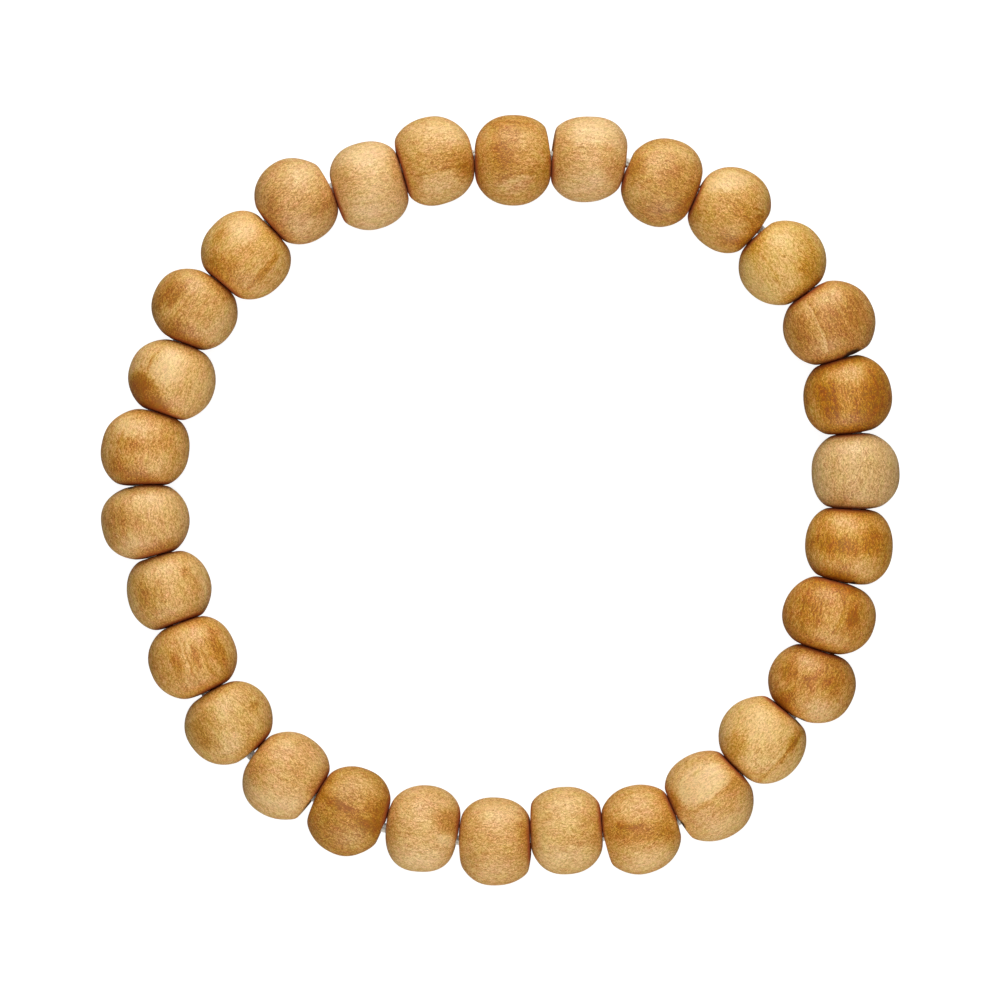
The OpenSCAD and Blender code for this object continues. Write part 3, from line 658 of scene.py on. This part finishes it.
def beadWood(bead, grain):
    material = bpy.data.materials.new(bead["name"] + "_wood")
    material.use_nodes = True
    tree = material.node_tree
    shader = tree.nodes["Principled BSDF"]
    where = newNode(tree, "ShaderNodeTexCoord")
    local = newNode(tree, "ShaderNodeMapping", vector_type="TEXTURE")
    tree.links.new(where.outputs["Object"], local.inputs["Vector"])
    local.inputs["Location"].default_value = bead["middle"] * mm
    local.inputs["Rotation"].default_value = (0, 0, -bead["heading"])
    local.inputs["Scale"].default_value = (mm, mm, mm)
    place = local.outputs[0]

    # the marks' edges wander
    wander = newNode(tree, "ShaderNodeTexNoise")
    tree.links.new(place, wander.inputs["Vector"])
    wander.inputs["Scale"].default_value = wood["warpScale"]
    wander.inputs["Detail"].default_value = wood["warpDetail"]
    even = newNode(tree, "ShaderNodeVectorMath", operation="SUBTRACT")
    tree.links.new(wander.outputs["Color"], even.inputs[0])
    even.inputs[1].default_value = (0.5, 0.5, 0.5)
    warped = newNode(tree, "ShaderNodeVectorMath", operation="MULTIPLY_ADD")
    tree.links.new(even.outputs[0], warped.inputs[0])
    warped.inputs[1].default_value = (wood["warp"],) * 3
    tree.links.new(place, warped.inputs[2])

    looks = newNode(tree, "ShaderNodeGroup", node_tree=grain)
    tree.links.new(place, looks.inputs["Place"])
    looks.inputs["Seed"].default_value = bead["seed"]
    fine = looks.outputs["Fine"]
    tone = sumOf(tree, looks.outputs["Broad"], fine)
    for mark in bead["marks"]:
        height = surfaceHeight(bead, mark[0], mark[1])
        tone = sumOf(tree, tone, markTone(tree, warped.outputs[0], mark, height))
    for line in bead["lines"]:
        tone = sumOf(tree, tone, lineTone(tree, warped.outputs[0], line))
    # painted shade: the wood is deeper in tone near the joints, where shade falls between the beads
    jointShade = nearJoints(tree, place, bead, wood["jointShadeReach"])
    tone = sumOf(tree, tone, timesOf(tree, jointShade, wood["jointShadeTone"]))
    whole = newNode(tree, "ShaderNodeMath", operation="ADD", use_clamp=True)
    tree.links.new(tone, whole.inputs[0])
    whole.inputs[1].default_value = bead["tone"]

    ramp = newNode(tree, "ShaderNodeValToRGB")
    stops = ramp.color_ramp.elements
    while len(stops) < len(wood["tones"]):
        stops.new(0.5)
    for stop, (position, colour) in zip(stops, wood["tones"]):
        stop.position = position
        stop.color = (*colour, 1)
    tree.links.new(whole.outputs[0], ramp.inputs[0])

    # the grain also darkens it
    light = newNode(tree, "ShaderNodeMath", operation="ADD")
    tree.links.new(timesOf(tree, fine, -wood["valueShare"]), light.inputs[0])
    light.inputs[1].default_value = bead["val"]
    tint = newNode(tree, "ShaderNodeHueSaturation")
    tree.links.new(ramp.outputs[0], tint.inputs["Color"])
    tree.links.new(light.outputs[0], tint.inputs["Value"])
    hue = newNode(tree, "ShaderNodeMath", operation="ADD")
    tree.links.new(looks.outputs["Hue"], hue.inputs[0])
    hue.inputs[1].default_value = 0.5 + bead["hue"]  # 0.5 leaves the hue as it is
    tree.links.new(hue.outputs[0], tint.inputs["Hue"])
    tint.inputs["Saturation"].default_value = bead["sat"]

    # painted shade: dark red-brown where the beads meet, standing in for the shade in the joints; the
    # same mask also makes the wood rougher there
    shadeAndRub = nearJoints(tree, place, bead, wood["contactReach"])
    colour = paintShade(tree, tint.outputs[0], shadeAndRub, wood["contactShadow"])
    # painted shadow: near black at the mouth of the far bore, standing in for the shade deep in the bore
    if "mouth" in bead:
        y, size, depth = bead["mouth"]
        face = bead["far"]
        edge = (face["x"] + face["slope"] * (y - face["y"]), y, wood["mouthHeight"])
        fit = fitted(tree, place, edge, 0, (depth, size, wood["mouthHeight"]))
        away = newNode(tree, "ShaderNodeVectorMath", operation="LENGTH")
        tree.links.new(fit, away.inputs[0])
        dark = fade(tree, away.outputs["Value"], *wood["mouthEdge"], 1, 0)
        colour = paintShade(tree, colour, dark, wood["mouthShadow"])
    tree.links.new(colour, shader.inputs["Base Color"])

    sanded = fade(tree, fine, -wood["roughnessSpan"], wood["roughnessSpan"], *wood["roughness"])
    rough = sumOf(tree, sanded, timesOf(tree, shadeAndRub, wood["rubbedRoughness"]))
    tree.links.new(rough, shader.inputs["Roughness"])
    shader.inputs["Specular IOR Level"].default_value = wood["gloss"]
    shader.inputs["Subsurface Weight"].default_value = wood["glow"]
    shader.inputs["Subsurface Radius"].default_value = wood["glowColour"]
    shader.inputs["Subsurface Scale"].default_value = wood["glowDepth"]
    bump = newNode(tree, "ShaderNodeBump")
    bump.inputs["Strength"].default_value = wood["bump"]
    bump.inputs["Distance"].default_value = wood["bumpDepth"]
    tree.links.new(timesOf(tree, fine, -1), bump.inputs["Height"])
    tree.links.new(bump.outputs[0], shader.inputs["Normal"])
    return material


# The stretch elastic: a bundle of clear strands that shows only where two beads part
elastic = {
    "diameter": 0.9,
    "out": 0.25,  # how far outside the bores' middle it passes where two beads meet
    "space": 0.1,  # least space to the wall of a bore
    "bend": 0.5,  # length over which it bends on each side of that place
    "strands": 5,
    "strandShare": 0.4,  # a strand's thickness, of that of the whole
    "strandSteps": 2,  # how finely a strand is rounded
    "turns": 4,  # how often the strands twist, once round the loop
    "colours": ((0.95, 0.87, 0.72), (1, 0.96, 0.86)),
    "streakScale": 1500,
    "roughness": 0.3,
    "clearness": 0.1,
    "bending": 1.45,
}


def elasticRoute():
    crossings = []
    for bead, after in zip(beads, beads[1:] + beads[:1]):
        start = bead["middle"] + bead["along"] * bead["length"] / 2
        end = after["middle"] - after["along"] * after["length"] / 2
        meeting = (start + end) / 2
        outward = Vector((meeting.x, meeting.y, 0)).normalized()
        step = abs((end - start).dot(outward))
        room = turning["boreRadius"] - (elastic["diameter"] + step) / 2 - elastic["space"]
        crossings.append(meeting + min(elastic["out"], room) * outward)
    route = []
    for i, here in enumerate(crossings):
        before, after = crossings[i - 1], crossings[(i + 1) % len(crossings)]
        route.append(here + elastic["bend"] * (before - here).normalized())
        route.append(here + elastic["bend"] * (after - here).normalized())
    return route


def makeElastic():
    route = elasticRoute()
    curve = bpy.data.curves.new("elastic_strands", "CURVE")
    curve.dimensions = "3D"
    strandRadius = elastic["diameter"] / 2 * elastic["strandShare"]
    ringRadius = elastic["diameter"] / 2 - strandRadius
    curve.bevel_depth = strandRadius * mm
    curve.bevel_resolution = elastic["strandSteps"]
    count = len(route)
    for strand in range(elastic["strands"]):
        spline = curve.splines.new("POLY")
        spline.points.add(count - 1)
        spline.use_cyclic_u = True
        for k, point in enumerate(route):
            run = (route[(k + 1) % count] - route[k - 1]).normalized()
            side = Vector((0, 0, 1)).cross(run).normalized()
            a = 2 * math.pi * (strand / elastic["strands"] + elastic["turns"] * k / count)
            offset = ringRadius * (math.cos(a) * side + math.sin(a) * run.cross(side))
            spline.points[k].co = (*((point + offset) * mm), 1)
    wire = bpy.data.objects.new("elastic_wire", curve)
    bpy.context.scene.collection.objects.link(wire)
    shape = wire.evaluated_get(bpy.context.evaluated_depsgraph_get())
    mesh = bpy.data.meshes.new_from_object(shape)
    bpy.data.objects.remove(wire)
    mesh.name = "elastic_strands"
    piece = bpy.data.objects.new("elastic_strands", mesh)
    bpy.context.scene.collection.objects.link(piece)
    return piece


def elasticMaterial():
    material = bpy.data.materials.new("clearElastic")
    material.use_nodes = True
    tree = material.node_tree
    shader = tree.nodes["Principled BSDF"]
    where = newNode(tree, "ShaderNodeTexCoord")
    streaks = newNode(tree, "ShaderNodeTexNoise")
    tree.links.new(where.outputs["Object"], streaks.inputs["Vector"])
    streaks.inputs["Scale"].default_value = elastic["streakScale"]
    ramp = newNode(tree, "ShaderNodeValToRGB")
    for stop, colour in zip(ramp.color_ramp.elements, elastic["colours"]):
        stop.color = (*colour, 1)
    tree.links.new(streaks.outputs[0], ramp.inputs[0])
    tree.links.new(ramp.outputs[0], shader.inputs["Base Color"])
    shader.inputs["Roughness"].default_value = elastic["roughness"]
    shader.inputs["Transmission Weight"].default_value = elastic["clearness"]
    shader.inputs["IOR"].default_value = elastic["bending"]
    return material


# Floor, light and camera
studio = {
    "pixelsPerMm": 11.0,
    "pictureWidth": 1000,  # pixels
    "cameraHeight": 600.0,  # above the beads' middle, mm
    "cameraReach": (0.01, 10),  # nearest and farthest that it sees, m
    "middleRow": -0.09,  # where the middle of the picture falls along Y, mm
    "sensorWidth": 36,
    "worldStrength": 0.16,
    "floorSize": 1.2,
    "floorSquares": 8,
    "floorColour": (0.3, 0.3, 0.3),
    "floorGlow": 0.9,
    "floorRoughness": 0.9,
    "floorGloss": 0.1,
    # each softbox: how far it leans from overhead towards +Y and how far round it stands clockwise from
    # there, in degrees, how far off, width, height, radiance
    "softboxes": {
        "upperLight": (60, 1.5, 0.6, 0.45, 0.5, 5.05),
        "lowerLight": (-65, -3, 0.6, 0.6, 0.5, 2.9),
        "topLight": (8, 7, 0.95, 0.4, 0.5, 3.7),
    },
}


def makeStudio():
    scene = bpy.context.scene
    bm = bmesh.new()
    squares = studio["floorSquares"]
    bmesh.ops.create_grid(bm, x_segments=squares, y_segments=squares, size=studio["floorSize"])
    mesh = bpy.data.meshes.new("floor")
    bm.to_mesh(mesh)
    bm.free()
    floor = bpy.data.objects.new("floor", mesh)
    scene.collection.objects.link(floor)
    paper = bpy.data.materials.new("whitePaper")
    paper.use_nodes = True
    shader = paper.node_tree.nodes["Principled BSDF"]
    shader.inputs["Base Color"].default_value = (*studio["floorColour"], 1)
    shader.inputs["Roughness"].default_value = studio["floorRoughness"]
    shader.inputs["Specular IOR Level"].default_value = studio["floorGloss"]
    shader.inputs["Emission Color"].default_value = (1, 1, 1, 1)
    shader.inputs["Emission Strength"].default_value = studio["floorGlow"]
    floor.data.materials.append(paper)
    floor.visible_diffuse = False  # the paper throws no light up on the beads
    floor.visible_glossy = False

    world = bpy.data.worlds.new("studioWorld")
    scene.world = world
    world.use_nodes = True
    world.node_tree.nodes["Background"].inputs["Color"].default_value = (1, 1, 1, 1)
    world.node_tree.nodes["Background"].inputs["Strength"].default_value = studio["worldStrength"]

    for name, (lean, aside, distance, width, height, radiance) in studio["softboxes"].items():
        light = bpy.data.lights.new(name, "AREA")
        light.shape = "RECTANGLE"
        light.size, light.size_y = width, height
        light.energy = radiance * math.pi * width * height
        lamp = bpy.data.objects.new(name, light)
        leaning = Matrix.Rotation(-math.radians(lean), 4, "X")
        standing = Matrix.Rotation(-math.radians(aside), 4, "Z")
        lamp.matrix_world = standing @ leaning @ Matrix.Translation((0, 0, distance))
        scene.collection.objects.link(lamp)

    camera = bpy.data.cameras.new("camera")
    camera.sensor_width = studio["sensorWidth"]
    camera.clip_start, camera.clip_end = studio["cameraReach"]
    pictureSize = studio["pictureWidth"] / studio["pixelsPerMm"]
    camera.lens = camera.sensor_width * studio["cameraHeight"] / pictureSize
    viewer = bpy.data.objects.new("camera", camera)
    beadMiddle = loop["beadDiameter"] / 2
    viewer.location = (0, studio["middleRow"] * mm, (studio["cameraHeight"] + beadMiddle) * mm)
    scene.collection.objects.link(viewer)
    scene.camera = viewer
    scene.view_settings.view_transform = "Standard"
    scene.view_settings.look = "None"


makeStudio()
print("studio made")

beadPlaces()
joinBeads()
grain = grainGroup()
for bead in beads:
    piece = makeBead(bead)
    piece.data.materials.append(beadWood(bead, grain))
    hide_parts(bead["name"])
    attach(piece, "root")
print("beads made")

strands = makeElastic()
strands.data.materials.append(elasticMaterial())
for polygon in strands.data.polygons:
    polygon.use_smooth = True
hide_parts("elastic_cord")
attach(strands, "root")
print("elastic made")
